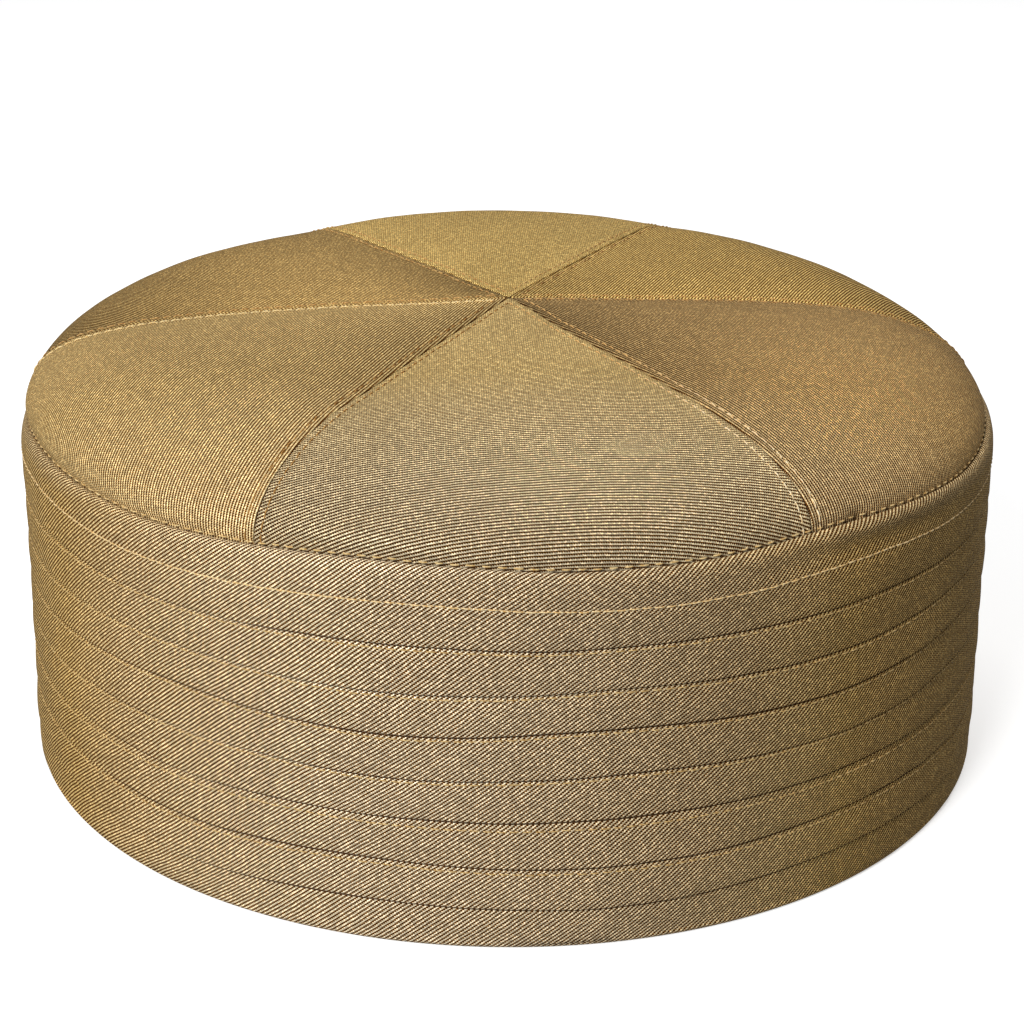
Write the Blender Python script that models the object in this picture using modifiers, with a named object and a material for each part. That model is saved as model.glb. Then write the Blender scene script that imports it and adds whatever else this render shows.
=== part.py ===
"""Prayer cap: a padded crown of six wedge panels on a side band with seven tucks.

The cap stands on its hem at z = 0, with its front towards -Y. Sizes below are in
millimetres, angles in degrees, and the scene is in metres.
"""

import math
from collections import namedtuple

import bmesh
import bpy

MM = 0.001

# Rules that hold for the whole cap
PIECE_GAP = 0.3  # between the crown's edge and the band
SEAM_GAP = 0.4  # between two crown panels
PANEL_COUNT = 6
PANEL_ANGLE = 360 / PANEL_COUNT
FIRST_SEAM = -117.0  # azimuth of the seam to the left of the front panel
COLUMNS = 10  # faces across one panel, and the same round the band

# Crown: a gentle cone with a rounded edge, leaning forwards a little
CROWN_TOP = 83.3  # height of the middle
CROWN_FALL = 0.036  # fall for each millimetre away from the middle
FORWARD_LEAN = 0.032  # further fall towards the front, and rise towards the back
SIDE_LEAN = 0.018  # rise towards the right
LEAN_FADE = 6  # power by which the lean dies out towards the rim
PUFF_BREADTH = 0.6  # power that makes a panel's puff broad, below 1, or peaked
PUFF_PLACE = 1.1  # power that moves the puff outwards along its panel
EDGE_START = 59.2  # radius where the rounded edge begins
EDGE_SHIFT = 8.8  # it begins this much further in at EDGE_SOFT, and further out opposite
EDGE_SOFT = -32.0  # azimuth where the edge is roundest
EDGE_SWELL = 1.8  # at the left the edge swells out this far above the band
SWELL_AT = -165.0  # azimuth in the middle of the swell
SWELL_NARROWNESS = 12
CROWN_WALL = 2.0
TIP_RADIUS = 0.8  # the six tips stop here
FLAT_ROWS = 4
EDGE_ROWS = 6

# Seam between crown and band
RIM_RADIUS = 89.0  # where a panel seam meets the band
RIM_SCALLOP = 0.9  # how far the middle of a panel pushes the edge out
RIM_HEIGHT = 65.9
TURNED_IN = 0.6  # the crown's edge goes down behind the band's top by this

# Side band
SHOULDER_RADIUS = 90.9  # where the two tangents of the rolled shoulder meet
SHOULDER_HEIGHT = 66.4
SHOULDER_STEPS = 5
FIRST_ROW_RADIUS = 91.6  # the stitch row under the shoulder
FIRST_ROW_HEIGHT = 59.8
INNER_RADIUS = 89.4
FLARE_HEIGHT = 57.0  # above this the wall turns in to the crown's edge
LIP_ROUNDING = 0.35  # a fold's lower edge is rounded over this height
LIP_SETBACK = 0.12  # its lowest line lies this far in from its outermost one
FOLD_LAP = 0.35  # a fold stands out this far from the cloth below it
FOLD_DEPTH = 0.6  # the groove behind the lip goes in this far
GROOVE_RISE = 0.18  # and up this far
STRIP_BELLY = 0.12  # the cloth between two folds stands out this far
HEM_RADIUS = 92.3
HEM_ROUNDING = 1.0
HEM_STEPS = 3
HEM_INSIDE_BEVEL = 0.4

Panel = namedtuple("Panel", "name fullness")
PANELS = (
    Panel("crown_panel_front", 1.4),
    Panel("crown_panel_front_right", 1.4),
    Panel("crown_panel_back_right", 0.7),
    Panel("crown_panel_back", 2.0),
    Panel("crown_panel_back_left", 0.4),
    Panel("crown_panel_front_left", 1.5),
)

Tuck = namedtuple("Tuck", "fold_height fold_radius")
TUCKS = (
    Tuck(53.0, 91.6),
    Tuck(45.4, 91.6),
    Tuck(38.4, 91.8),
    Tuck(30.5, 91.9),
    Tuck(23.1, 92.1),
    Tuck(15.0, 92.3),
    Tuck(7.4, 92.5),
)

TWILL_GOLD = (0.402, 0.262, 0.091)
CLOTH_ROUGHNESS = 0.75


def clear_scene():
    for thing in list(bpy.data.objects):
        bpy.data.objects.remove(thing)


def cloth_material(name):
    material = bpy.data.materials.new(name)
    material.use_nodes = True
    shader = material.node_tree.nodes["Principled BSDF"]
    shader.inputs["Base Color"].default_value = (*TWILL_GOLD, 1.0)
    shader.inputs["Roughness"].default_value = CLOTH_ROUGHNESS
    shader.inputs["Metallic"].default_value = 0.0
    return material


def add_object(name, mesh, collection):
    mesh.materials.append(cloth_material(name + "_cloth"))
    mesh.shade_smooth()
    thing = bpy.data.objects.new(name, mesh)
    collection.objects.link(thing)
    return thing


def across_panel(azimuth):
    """0 at a panel seam, 1 in the middle of a panel."""
    return abs(math.sin(math.radians((azimuth - FIRST_SEAM) * PANEL_COUNT / 2)))


def scallop(azimuth):
    return RIM_SCALLOP * across_panel(azimuth)


def edge_start(azimuth):
    return EDGE_START - EDGE_SHIFT * math.cos(math.radians(azimuth - EDGE_SOFT))


def edge_swell(azimuth, edge_share):
    """How far the edge is pushed outwards, most at about two thirds of its way down."""
    nearness = (1 + math.cos(math.radians(azimuth - SWELL_AT))) / 2
    return EDGE_SWELL * nearness**SWELL_NARROWNESS * math.sin(math.pi * edge_share**2)


def crown_height(radius, azimuth, fullness):
    """Height of the crown's outer face."""
    rim = RIM_RADIUS + scallop(azimuth)
    start = edge_start(azimuth)
    share = min(radius / rim, 1.0)
    x = radius * math.cos(math.radians(azimuth))
    y = radius * math.sin(math.radians(azimuth))
    cone = CROWN_TOP - CROWN_FALL * radius
    lean = (SIDE_LEAN * x + FORWARD_LEAN * y) * (1 - share**LEAN_FADE)
    edge_share = min(max(radius - start, 0.0) / (rim - start), 1.0)
    edge_height = CROWN_TOP - CROWN_FALL * rim - RIM_HEIGHT
    edge_fall = edge_height * (1 - math.sqrt(1 - edge_share**2))
    puff_across = across_panel(azimuth) ** PUFF_BREADTH
    puff_along = math.sin(math.pi * share**PUFF_PLACE)
    return cone + lean - edge_fall + fullness * puff_across * puff_along


def panel_row(row, azimuth):
    """A row's radius, how far it is pushed outwards, and how far it hangs below the surface."""
    start = edge_start(azimuth)
    rim = RIM_RADIUS + scallop(azimuth)
    if row <= FLAT_ROWS:
        return TIP_RADIUS + (start - TIP_RADIUS) * row / FLAT_ROWS, 0.0, 0.0
    if row <= FLAT_ROWS + EDGE_ROWS:
        edge_share = (row - FLAT_ROWS) / EDGE_ROWS
        radius = start + (rim - start) * math.sin(math.radians(90) * edge_share)
        return radius, edge_swell(azimuth, edge_share), 0.0
    return rim, 0.0, TURNED_IN


def crown_panel(panel, number, collection):
    """A wedge between two seams, bent over the crown and given its wall inwards."""
    rows = FLAT_ROWS + EDGE_ROWS + 1
    middle = FIRST_SEAM + (number + 0.5) * PANEL_ANGLE
    grid = bmesh.new()
    bmesh.ops.create_grid(grid, x_segments=rows, y_segments=COLUMNS, size=1)
    for vertex in grid.verts:
        row = round((vertex.co.x + 1) / 2 * rows)
        side = vertex.co.y
        azimuth = middle + side * PANEL_ANGLE / 2
        radius, outward, hang = panel_row(row, azimuth)
        height = crown_height(radius, azimuth, panel.fullness) - hang
        radius += outward
        trim = side * math.degrees(math.asin(SEAM_GAP / 2 / radius))
        angle = math.radians(azimuth - trim)
        vertex.co = (
            radius * math.cos(angle) * MM,
            radius * math.sin(angle) * MM,
            height * MM,
        )
    mesh = bpy.data.meshes.new(panel.name)
    grid.to_mesh(mesh)
    grid.free()
    thing = add_object(panel.name, mesh, collection)
    wall = thing.modifiers.new("wall", "SOLIDIFY")
    wall.thickness = CROWN_WALL * MM
    wall.offset = -1
    return thing


def shoulder_points():
    """From the crown seam over the rolled shoulder to the first stitch row."""
    top = (RIM_RADIUS + PIECE_GAP, RIM_HEIGHT)
    bend = (SHOULDER_RADIUS, SHOULDER_HEIGHT)
    bottom = (FIRST_ROW_RADIUS, FIRST_ROW_HEIGHT)
    points = []
    for step in range(SHOULDER_STEPS + 1):
        s = step / SHOULDER_STEPS
        weights = ((1 - s) ** 2, 2 * s * (1 - s), s**2)
        radius, height = (
            sum(w * p[axis] for w, p in zip(weights, (top, bend, bottom)))
            for axis in (0, 1)
        )
        points.append((radius, height))
    return points


def fold_points(tuck, next_radius, next_height):
    """A fold's rounded lip, the groove behind it, and the strip of cloth below it."""
    radius = tuck.fold_radius
    height = tuck.fold_height
    strip_radius = (radius - FOLD_LAP + next_radius) / 2 + STRIP_BELLY
    return [
        (radius, height + LIP_ROUNDING),
        (radius - LIP_SETBACK, height),
        (radius - FOLD_DEPTH, height + GROOVE_RISE),
        (radius - FOLD_LAP, height - LIP_ROUNDING),
        (strip_radius, (height + next_height) / 2),
    ]


def hem_points():
    """The rounded lower edge, from the outside to the flat that the cap rests on."""
    points = []
    for step in range(HEM_STEPS + 1):
        turn = math.radians(90) * step / HEM_STEPS
        radius = HEM_RADIUS - HEM_ROUNDING * (1 - math.cos(turn))
        points.append((radius, HEM_ROUNDING * (1 - math.sin(turn))))
    return points


def inside_points():
    """Up the plain inside to the ledge under the crown's edge."""
    ledge_height = RIM_HEIGHT - TURNED_IN - PIECE_GAP
    ledge_radius = RIM_RADIUS - CROWN_WALL - PIECE_GAP
    return [
        (INNER_RADIUS + HEM_INSIDE_BEVEL, 0.0),
        (INNER_RADIUS, HEM_INSIDE_BEVEL),
        (INNER_RADIUS, FLARE_HEIGHT),
        (ledge_radius, ledge_height),
        (RIM_RADIUS + PIECE_GAP, ledge_height),
    ]


def band_profile():
    """The band's section as (radius, height), round the outside and back up the inside."""
    points = shoulder_points()
    below = [(tuck.fold_radius, tuck.fold_height) for tuck in TUCKS[1:]]
    below.append((HEM_RADIUS, 0.0))
    for tuck, (next_radius, next_height) in zip(TUCKS, below):
        points += fold_points(tuck, next_radius, next_height)
    return points + hem_points() + inside_points()


def side_band(collection):
    """The profile turned round the cap, its top edge pushed out to meet the crown."""
    turned = bmesh.new()
    start = math.radians(FIRST_SEAM)
    ring = [
        turned.verts.new(
            (radius * math.cos(start) * MM, radius * math.sin(start) * MM, height * MM)
        )
        for radius, height in band_profile()
    ]
    for one, other in zip(ring, ring[1:] + ring[:1]):
        turned.edges.new((one, other))
    bmesh.ops.spin(
        turned,
        geom=turned.verts[:] + turned.edges[:],
        cent=(0, 0, 0),
        axis=(0, 0, 1),
        angle=math.radians(360),
        steps=PANEL_COUNT * COLUMNS,
        use_merge=True,
    )
    for vertex in turned.verts:
        azimuth = math.degrees(math.atan2(vertex.co.y, vertex.co.x))
        climb = (vertex.co.z / MM - FIRST_ROW_HEIGHT) / (RIM_HEIGHT - FIRST_ROW_HEIGHT)
        push = scallop(azimuth) * min(max(climb, 0.0), 1.0) * MM
        radius = math.hypot(vertex.co.x, vertex.co.y)
        vertex.co.xy *= (radius + push) / radius
    bmesh.ops.recalc_face_normals(turned, faces=turned.faces)
    mesh = bpy.data.meshes.new("side_band")
    turned.to_mesh(mesh)
    turned.free()
    return add_object("side_band", mesh, collection)


def main():
    clear_scene()
    collection = bpy.data.collections.new("prayer_cap")
    bpy.context.scene.collection.children.link(collection)
    for number, panel in enumerate(PANELS):
        crown_panel(panel, number, collection)
    side_band(collection)


main()
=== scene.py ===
import math

import bpy
from mathutils import Matrix, Vector


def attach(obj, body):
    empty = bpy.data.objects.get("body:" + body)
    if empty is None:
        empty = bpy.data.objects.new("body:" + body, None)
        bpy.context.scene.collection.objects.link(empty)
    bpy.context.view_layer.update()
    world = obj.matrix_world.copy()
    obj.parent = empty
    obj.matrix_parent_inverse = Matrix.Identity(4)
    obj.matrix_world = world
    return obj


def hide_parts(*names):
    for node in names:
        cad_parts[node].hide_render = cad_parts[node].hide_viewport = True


# A round prayer cap of gold twill: padded crown of six panels, side band with seven tucks, topstitching.
# Lengths are in millimetres and angles in degrees, unless a note says otherwise. An azimuth is counted
# round the cap from its right-hand side, so the front is at -90.
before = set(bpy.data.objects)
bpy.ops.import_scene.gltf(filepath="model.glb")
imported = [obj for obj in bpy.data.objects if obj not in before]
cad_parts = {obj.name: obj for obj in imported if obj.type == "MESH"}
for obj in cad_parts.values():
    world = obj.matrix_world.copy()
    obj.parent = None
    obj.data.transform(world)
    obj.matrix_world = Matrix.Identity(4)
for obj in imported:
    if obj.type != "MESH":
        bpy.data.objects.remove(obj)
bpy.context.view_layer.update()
mm = 0.001
noiseSpan = (0.3, 0.7)  # nearly all of a soft noise lies between these

maths = "ShaderNodeMath"
vectors = "ShaderNodeVectorMath"
ramp = "ShaderNodeMapRange"
socketKinds = {
    float: "NodeSocketFloat",
    int: "NodeSocketInt",
    bpy.types.Material: "NodeSocketMaterial",
    bpy.types.Collection: "NodeSocketCollection",
}


def addNode(tree, kind, feeds=(), operation=None, **settings):
    # feeds are sockets, nodes or plain values: a list in the order of the inputs, or a dictionary by name
    node = tree.nodes.new(kind)
    if operation:
        node.operation = operation
    for name, value in settings.items():
        setattr(node, name, value)
    usable = [socket for socket in node.inputs if socket.enabled]
    pairs = feeds.items() if isinstance(feeds, dict) else enumerate(feeds)
    for key, value in pairs:
        if value is None:
            continue
        socket = usable[key] if isinstance(key, int) else next(s for s in usable if s.name == key)
        if isinstance(value, bpy.types.Node):
            value = next(s for s in value.outputs if s.enabled)
        if isinstance(value, bpy.types.NodeSocket):
            tree.links.new(value, socket)
        else:
            socket.default_value = value
    return node


def newTree(name, sizes):
    # a Geometry Nodes tree with a named input for each size, from its value or only its type
    tree = bpy.data.node_groups.new(name, "GeometryNodeTree")
    tree.interface.new_socket("Geometry", in_out="INPUT", socket_type="NodeSocketGeometry")
    for label, value in sizes.items():
        kind = value if isinstance(value, type) else type(value)
        tree.interface.new_socket(label, in_out="INPUT", socket_type=socketKinds[kind])
    tree.interface.new_socket("Geometry", in_out="OUTPUT", socket_type="NodeSocketGeometry")
    return tree, addNode(tree, "NodeGroupInput").outputs


def finishTree(tree, geometry, material):
    plain = addNode(tree, "GeometryNodeRealizeInstances", [geometry])
    finished = addNode(tree, "GeometryNodeSetMaterial", {"Geometry": plain, "Material": material})
    addNode(tree, "NodeGroupOutput", [finished])


def storeValues(tree, geometry, rows):
    # each row is a name, its value, where it is kept and its kind
    for name, value, domain, kind in rows:
        geometry = addNode(tree, "GeometryNodeStoreNamedAttribute", {
            "Geometry": geometry, "Name": name, "Value": value,
        }, data_type=kind, domain=domain)
    return geometry


def towards(tree, turn, height=None):
    # the way that an angle in radians points, seen from above
    return addNode(tree, "ShaderNodeCombineXYZ", {
        "X": addNode(tree, maths, [turn], "COSINE"), "Y": addNode(tree, maths, [turn], "SINE"), "Z": height,
    })


def upwards(tree, height):
    return addNode(tree, "ShaderNodeCombineXYZ", {"Z": height})


def bell(tree, squared):
    # 1 in the middle, and it fades as the square of the distance grows
    return addNode(tree, maths, [addNode(tree, maths, [squared, -1.0], "MULTIPLY")], "EXPONENT")


def makePlain(thing, tree, sizes):
    # runs the tree on the thing with these sizes and keeps the result as a plain mesh
    modifier = thing.modifiers.new(tree.name, "NODES")
    modifier.node_group = tree
    for item in tree.interface.items_tree:
        if item.item_type == "SOCKET" and item.in_out == "INPUT" and item.name in sizes:
            modifier[item.identifier] = sizes[item.name]
    depsgraph = bpy.context.evaluated_depsgraph_get()
    mesh = bpy.data.meshes.new_from_object(
        thing.evaluated_get(depsgraph), preserve_all_data_layers=True, depsgraph=depsgraph
    )
    thing.modifiers.remove(modifier)
    thing.data = mesh
    mesh.name = thing.name
    return mesh


def newThing(name, points=(), edges=(), faces=(), collection=None):
    mesh = bpy.data.meshes.new(name)
    mesh.from_pydata(points, edges, faces)
    thing = bpy.data.objects.new(name, mesh)
    (collection or bpy.context.scene.collection).objects.link(thing)
    return thing


def linear(hexColour):
    channels = [int(hexColour[i:i + 2], 16) / 255 for i in (1, 3, 5)]
    return tuple(c / 12.92 if c <= 0.04045 else ((c + 0.055) / 1.055) ** 2.4 for c in channels) + (1.0,)


# Cloth

twill = {
    "yarnPitch": 0.3088,  # between warp yarns: about 32 to the centimetre
    "pickPitch": 0.241,  # between weft yarns: about 41 to the centimetre
    "yarnWander": 0.07,  # how far a yarn strays from its straight line
    "wanderLength": 2.2,  # over about this length
    "waves": (  # waves to three yarns across and to three picks up, phase and strength
        (1, -1, 0.0, 1.0),  # the raised diagonal lines
        (2, 1, 121.0, 0.44),  # dark dots along them, between lighter floats
        (1, 2, 0.0, 0.52),  # faint ribs across them
    ),
    "waveTop": 1.05,  # the sum of the waves at which a float or a gap has its full colour
    "paintedGlint": 1.0,  # painted glints: how much brighter the brightest single floats are painted
    "yarnDifference": 0.1,  # how much one whole yarn differs from the next
    "reliefHeight": 0.09,
    "floatColour": "#fff8ea",  # lustrous cream gold yarn on top
    "sideColour": "#a8762c",  # its rounded sides, where light has passed through yarn
    "gapColour": "#321300",  # dark brown where the weft goes under
    "paintedShadeColour": "#44270c",  # painted shade, deep in a fold or seam where little light reaches
    "patchLength": 26.0,  # broad uneven tone, as pressed and handled cloth has
    "patchStrength": 0.10,
    "floatRoughness": 0.42,  # the floats glitter
    "gapRoughness": 0.95,
    "lustre": 0.15,  # metallic share, for the satin shine of the yarn
    "specular": 0.08,
}
edgeStitch = {
    "count": 230,  # stitches along the crown's edge
    "height": 66.25,
    "length": 1.35,
    "radius": 0.15,
    "holeShade": 0.45,  # how dark the painted shade of the needle holes between them is
    "holeRange": (-0.35, -0.9),  # where a hole begins and is darkest, on a wave from stitch to stitch
}
ringStart = math.radians(0.15)  # azimuth of a ring's first point: none lies right over a seam's gap


def twillHeight(tree, place, softness):
    # the woven surface from its gaps at 0 to its floats at 1
    weave = 0.0
    for across, up, phase, strength in twill["waves"]:
        wave = (
            2 * math.pi * across / (3 * twill["yarnPitch"]),
            2 * math.pi * up / (3 * twill["pickPitch"]),
            0.0,
        )
        turn = addNode(tree, vectors, [place, wave], "DOT_PRODUCT")
        turn = addNode(tree, maths, [turn, math.radians(phase)], "ADD")
        rise = addNode(tree, maths, [turn], "COSINE")
        weave = addNode(tree, maths, [rise, strength, weave], "MULTIPLY_ADD")
    top = twill["waveTop"] * softness
    return addNode(tree, ramp, [weave, -top, top, 0.0, 1.0], interpolation_type="SMOOTHSTEP")


def unevenTone(tree, place, spot):
    # how bright each float, each yarn and each broad patch of the cloth is; the brightest floats carry
    # painted glints
    cell = addNode(tree, vectors, [place, (twill["yarnPitch"], twill["pickPitch"], 1.0)], "DIVIDE")
    whole = addNode(tree, vectors, [cell], "FLOOR")
    perFloat = addNode(tree, "ShaderNodeTexWhiteNoise", [whole], noise_dimensions="2D")
    yarnOnly = addNode(tree, vectors, [whole, (1.0, 0.0, 0.0)], "MULTIPLY")
    perYarn = addNode(tree, "ShaderNodeTexWhiteNoise", [yarnOnly], noise_dimensions="2D")
    # the cube of an even random number is a quarter on average, so the cloth as a whole keeps its tone
    glint = addNode(tree, maths, [perFloat, 3.0], "POWER")
    paintedGlint = addNode(tree, maths, [glint, twill["paintedGlint"], 1 - twill["paintedGlint"] / 4], "MULTIPLY_ADD")
    streak = addNode(tree, ramp, [
        perYarn, 0.0, 1.0, 1 - twill["yarnDifference"] / 2, 1 + twill["yarnDifference"] / 2,
    ])
    patches = addNode(tree, "ShaderNodeTexNoise", {
        "Vector": spot, "Scale": 1 / (twill["patchLength"] * mm), "Detail": 3.0,
    })
    patch = addNode(tree, ramp, [
        patches, *noiseSpan, 1 - twill["patchStrength"] / 2, 1 + twill["patchStrength"] / 2,
    ])
    return paintedGlint, streak, patch


def needleHoles(tree, spot, holeRow):
    # painted shade of the needle holes between the stitches along the crown's edge, where the cloth is
    # marked for them
    around = addNode(tree, "ShaderNodeSeparateXYZ", [spot])
    azimuth = addNode(tree, maths, [around.outputs["Y"], around.outputs["X"]], "ARCTAN2")
    count = edgeStitch["count"]
    beat = addNode(tree, maths, [azimuth, count, -count * ringStart], "MULTIPLY_ADD")
    beat = addNode(tree, maths, [beat], "COSINE")
    hole = addNode(tree, ramp, [beat, *edgeStitch["holeRange"], 0.0, edgeStitch["holeShade"]])
    return addNode(tree, maths, [hole, holeRow], "MULTIPLY")


def goldTwill(name, tone):
    # Satin-like cotton and polyester twill, woven 2/1: fine raised diagonal lines that glitter, with
    # dark dots between them, and a dry, slightly shiny face.
    material = bpy.data.materials.new(name)
    material.use_nodes = True
    tree = material.node_tree
    shader = tree.nodes["Principled BSDF"]
    spot = addNode(tree, "ShaderNodeTexCoord").outputs["Object"]
    flat = addNode(tree, "ShaderNodeUVMap", uv_map="clothMillimetres")
    crease, holeRow, shine, faded = (
        addNode(tree, "ShaderNodeAttribute", attribute_name=value).outputs["Fac"]
        for value in ("crease", "needleHoles", "shine", "faded")
    )

    bend = addNode(tree, "ShaderNodeTexNoise", {
        "Vector": spot, "Scale": 1 / (twill["wanderLength"] * mm), "Detail": 1.0,
    })
    centred = addNode(tree, vectors, [bend.outputs["Color"], (0.5, 0.5, 0.5)], "SUBTRACT")
    stray = addNode(tree, vectors, {"Vector": centred, "Scale": 2 * twill["yarnWander"]}, "SCALE")
    place = addNode(tree, vectors, [flat, stray], "ADD")
    height = twillHeight(tree, place, tone.get("softness", 1.0))

    # the tone's brightness (for a panel, painted light or shade), random tones with painted glints, and the
    # painted satin sheen and shade
    brightness = tone["brightness"]
    for factor in (*unevenTone(tree, place, spot), addNode(tree, maths, [shine], "EXPONENT")):
        brightness = addNode(tree, maths, [factor, brightness], "MULTIPLY")
    # painted shade in seam grooves, fold lines, along the rim and in the needle holes
    dark = addNode(tree, maths, [crease, needleHoles(tree, spot, holeRow)], "MAXIMUM")

    colour = addNode(tree, "ShaderNodeValToRGB", [height])
    stops = colour.color_ramp.elements
    stops.new(0.5)
    for stop, part in zip(stops, ("gapColour", "sideColour", "floatColour")):
        stop.color = linear(twill[part])
    tint = addNode(tree, "ShaderNodeMix", {
        "Factor": faded, "A": linear(tone["tint"]), "B": linear(tone.get("paleTint", tone["tint"])),
    }, data_type="RGBA")
    tinted = addNode(tree, vectors, [colour, tint], "MULTIPLY")
    shadedInCreases = addNode(tree, "ShaderNodeMix", {
        "Factor": dark, "A": tinted, "B": linear(twill["paintedShadeColour"]),
    }, data_type="RGBA")
    lit = addNode(tree, vectors, {"Vector": shadedInCreases, "Scale": brightness}, "SCALE")
    gloss = addNode(tree, ramp, [height, 0.0, 1.0, twill["gapRoughness"], twill["floatRoughness"]])
    relief = addNode(tree, "ShaderNodeBump", {
        "Height": height, "Distance": twill["reliefHeight"] * mm, "Strength": 1.0,
    })
    tree.links.new(lit.outputs[0], shader.inputs["Base Color"])
    tree.links.new(gloss.outputs[0], shader.inputs["Roughness"])
    tree.links.new(relief.outputs[0], shader.inputs["Normal"])
    shader.inputs["Specular IOR Level"].default_value = twill["specular"]
    shader.inputs["Metallic"].default_value = twill["lustre"]
    return material


# Sewing thread

thread = {
    "innerFrom": 38.0,  # a row's inner colour reaches out to here and is gone at the next distance
    "innerTo": 72.0,
    "plyLength": 0.35,
    "plySpan": (0.35, 0.65),  # of the noise, from a dark twist line to the bright ply
    "reliefHeight": 0.05,
    "reliefStrength": 0.6,
    "roughness": 0.5,
    "specular": 0.2,
    "sheen": 0.05,
}
# one thread throughout, painted in paler and darker copies for rows that catch more light or lie in shade
litAndShadedThreadColours = {
    "orangeTan": {"colour": "#c49450", "dark": "#89602a"},
    "tan": {"colour": "#dcb274", "dark": "#a87a3c"},
    "cream": {"colour": "#fff0ce", "dark": "#e0bb7c", "inner": "#d8ac6c"},
    "paleGold": {"colour": "#fae4ae", "dark": "#dab674"},
    "lightTan": {"colour": "#efd7a0", "dark": "#c49a58"},
    "lightGold": {"colour": "#fae3b2", "dark": "#d3a762"},
    "gold": {"colour": "#e3c68c", "dark": "#b58c4c"},
}


def sewingThread(name):
    # Spun polyester thread of two twisted plies: a soft silky shine with fine darker twist lines.
    look = litAndShadedThreadColours[name]
    material = bpy.data.materials.new(name + "Thread")
    material.use_nodes = True
    tree = material.node_tree
    shader = tree.nodes["Principled BSDF"]
    spot = addNode(tree, "ShaderNodeTexCoord").outputs["Object"]
    twist = addNode(tree, "ShaderNodeTexNoise", {
        "Vector": spot, "Scale": 1 / (thread["plyLength"] * mm), "Detail": 2.0,
    })
    shade = addNode(tree, ramp, [twist, *thread["plySpan"], 0.0, 1.0])
    colour = addNode(tree, "ShaderNodeMix", {
        "Factor": shade, "A": linear(look["dark"]), "B": linear(look["colour"]),
    }, data_type="RGBA")
    if "inner" in look:
        flat = addNode(tree, vectors, [spot, (1.0, 1.0, 0.0)], "MULTIPLY")
        reach = addNode(tree, vectors, [flat], "LENGTH")
        outer = addNode(tree, ramp, [reach, thread["innerFrom"] * mm, thread["innerTo"] * mm, 0.0, 1.0])
        colour = addNode(tree, "ShaderNodeMix", {
            "Factor": outer, "A": linear(look["inner"]), "B": colour.outputs[2],
        }, data_type="RGBA")
    relief = addNode(tree, "ShaderNodeBump", {
        "Height": twist, "Distance": thread["reliefHeight"] * mm, "Strength": thread["reliefStrength"],
    })
    tree.links.new(colour.outputs[2], shader.inputs["Base Color"])
    tree.links.new(relief.outputs[0], shader.inputs["Normal"])
    shader.inputs["Roughness"].default_value = thread["roughness"]
    shader.inputs["Specular IOR Level"].default_value = thread["specular"]
    shader.inputs["Sheen Weight"].default_value = thread["sheen"]
    return material


# Hand-sewn unevenness: the seam lines of band and crown rise and fall a little together

waver = {
    "swing": 0.55,  # most that a line rises or falls
    "lobes": 7.0,  # swings round the cap
    "crest": -103.0,  # azimuth of one crest of the upper lines
    "turnover": 56.0,  # height over which the swing reverses and comes back
    "from": 65.9,  # height of the crown's edge, where the crests are
    "restless": 0.25,  # further unevenness without a rule
    "restlessRound": 3.0,  # how often it changes round the cap
    "restlessUp": 25.0,  # and upwards, to the metre
    "restlessSpan": (0.25, 0.75),  # of the noise that it comes from
    "hemCalm": 6.0,  # all of it dies out over this height above the hem
}


def waverTree():
    tree = bpy.data.node_groups.new("handSewnWaver", "GeometryNodeTree")
    tree.interface.new_socket("Place", in_out="INPUT", socket_type="NodeSocketVector")
    tree.interface.new_socket("Lift", in_out="OUTPUT", socket_type="NodeSocketFloat")
    place = addNode(tree, "ShaderNodeSeparateXYZ", [addNode(tree, "NodeGroupInput").outputs["Place"]])
    height = place.outputs["Z"]
    azimuth = addNode(tree, maths, [place.outputs["Y"], place.outputs["X"]], "ARCTAN2")
    fromCrest = addNode(tree, maths, [azimuth, -math.radians(waver["crest"])], "ADD")
    lobeTurn = addNode(tree, maths, [fromCrest, waver["lobes"]], "MULTIPLY")
    swing = addNode(tree, maths, [lobeTurn], "COSINE")
    heightTurn = 2 * math.pi / (waver["turnover"] * mm)
    upTurn = addNode(tree, maths, [height, heightTurn, -waver["from"] * mm * heightTurn], "MULTIPLY_ADD")
    reverse = addNode(tree, maths, [upTurn], "COSINE")
    ruled = addNode(tree, maths, [swing, reverse], "MULTIPLY")
    ruled = addNode(tree, maths, [ruled, waver["swing"]], "MULTIPLY")
    around = towards(tree, azimuth, addNode(tree, maths, [height, waver["restlessUp"]], "MULTIPLY"))
    loose = addNode(tree, "ShaderNodeTexNoise", {
        "Vector": around, "Scale": waver["restlessRound"], "Detail": 1.0,
    })
    most = waver["restless"]
    loose = addNode(tree, ramp, [loose, *waver["restlessSpan"], -most, most])
    calm = addNode(tree, ramp, [
        height, 0.0, waver["hemCalm"] * mm, 0.0, 1.0,
    ], interpolation_type="SMOOTHSTEP")
    lift = addNode(tree, maths, [ruled, loose], "ADD")
    lift = addNode(tree, maths, [lift, calm], "MULTIPLY")
    addNode(tree, "NodeGroupOutput", [lift])
    return tree


# Pressed places

softPresses = (  # place, reach and depth
    ((60.5, -68.5, 61.9), (22.0, 22.0, 1.6), 0.8),  # a valley along the shoulder
    ((60.5, -68.5, 65.0), (22.0, 22.0, 1.1), -0.42),  # and the fuller lip above it
    ((56.6, -69.3, 65.8), (2.2, 2.2, 2.0), 0.7),  # a pucker where the crown's edge is sewn in
)


def pressedDepth(tree, place):
    # how deep the cloth is pressed in at each place
    total = 0.0
    for middle, reach, depth in softPresses:
        off = addNode(tree, vectors, [place, middle], "SUBTRACT")
        off = addNode(tree, vectors, [off, reach], "DIVIDE")
        squared = addNode(tree, vectors, [off, off], "DOT_PRODUCT")
        total = addNode(tree, maths, [bell(tree, squared), depth, total], "MULTIPLY_ADD")
    return total


# Seams, which wander off their straight lines

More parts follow.
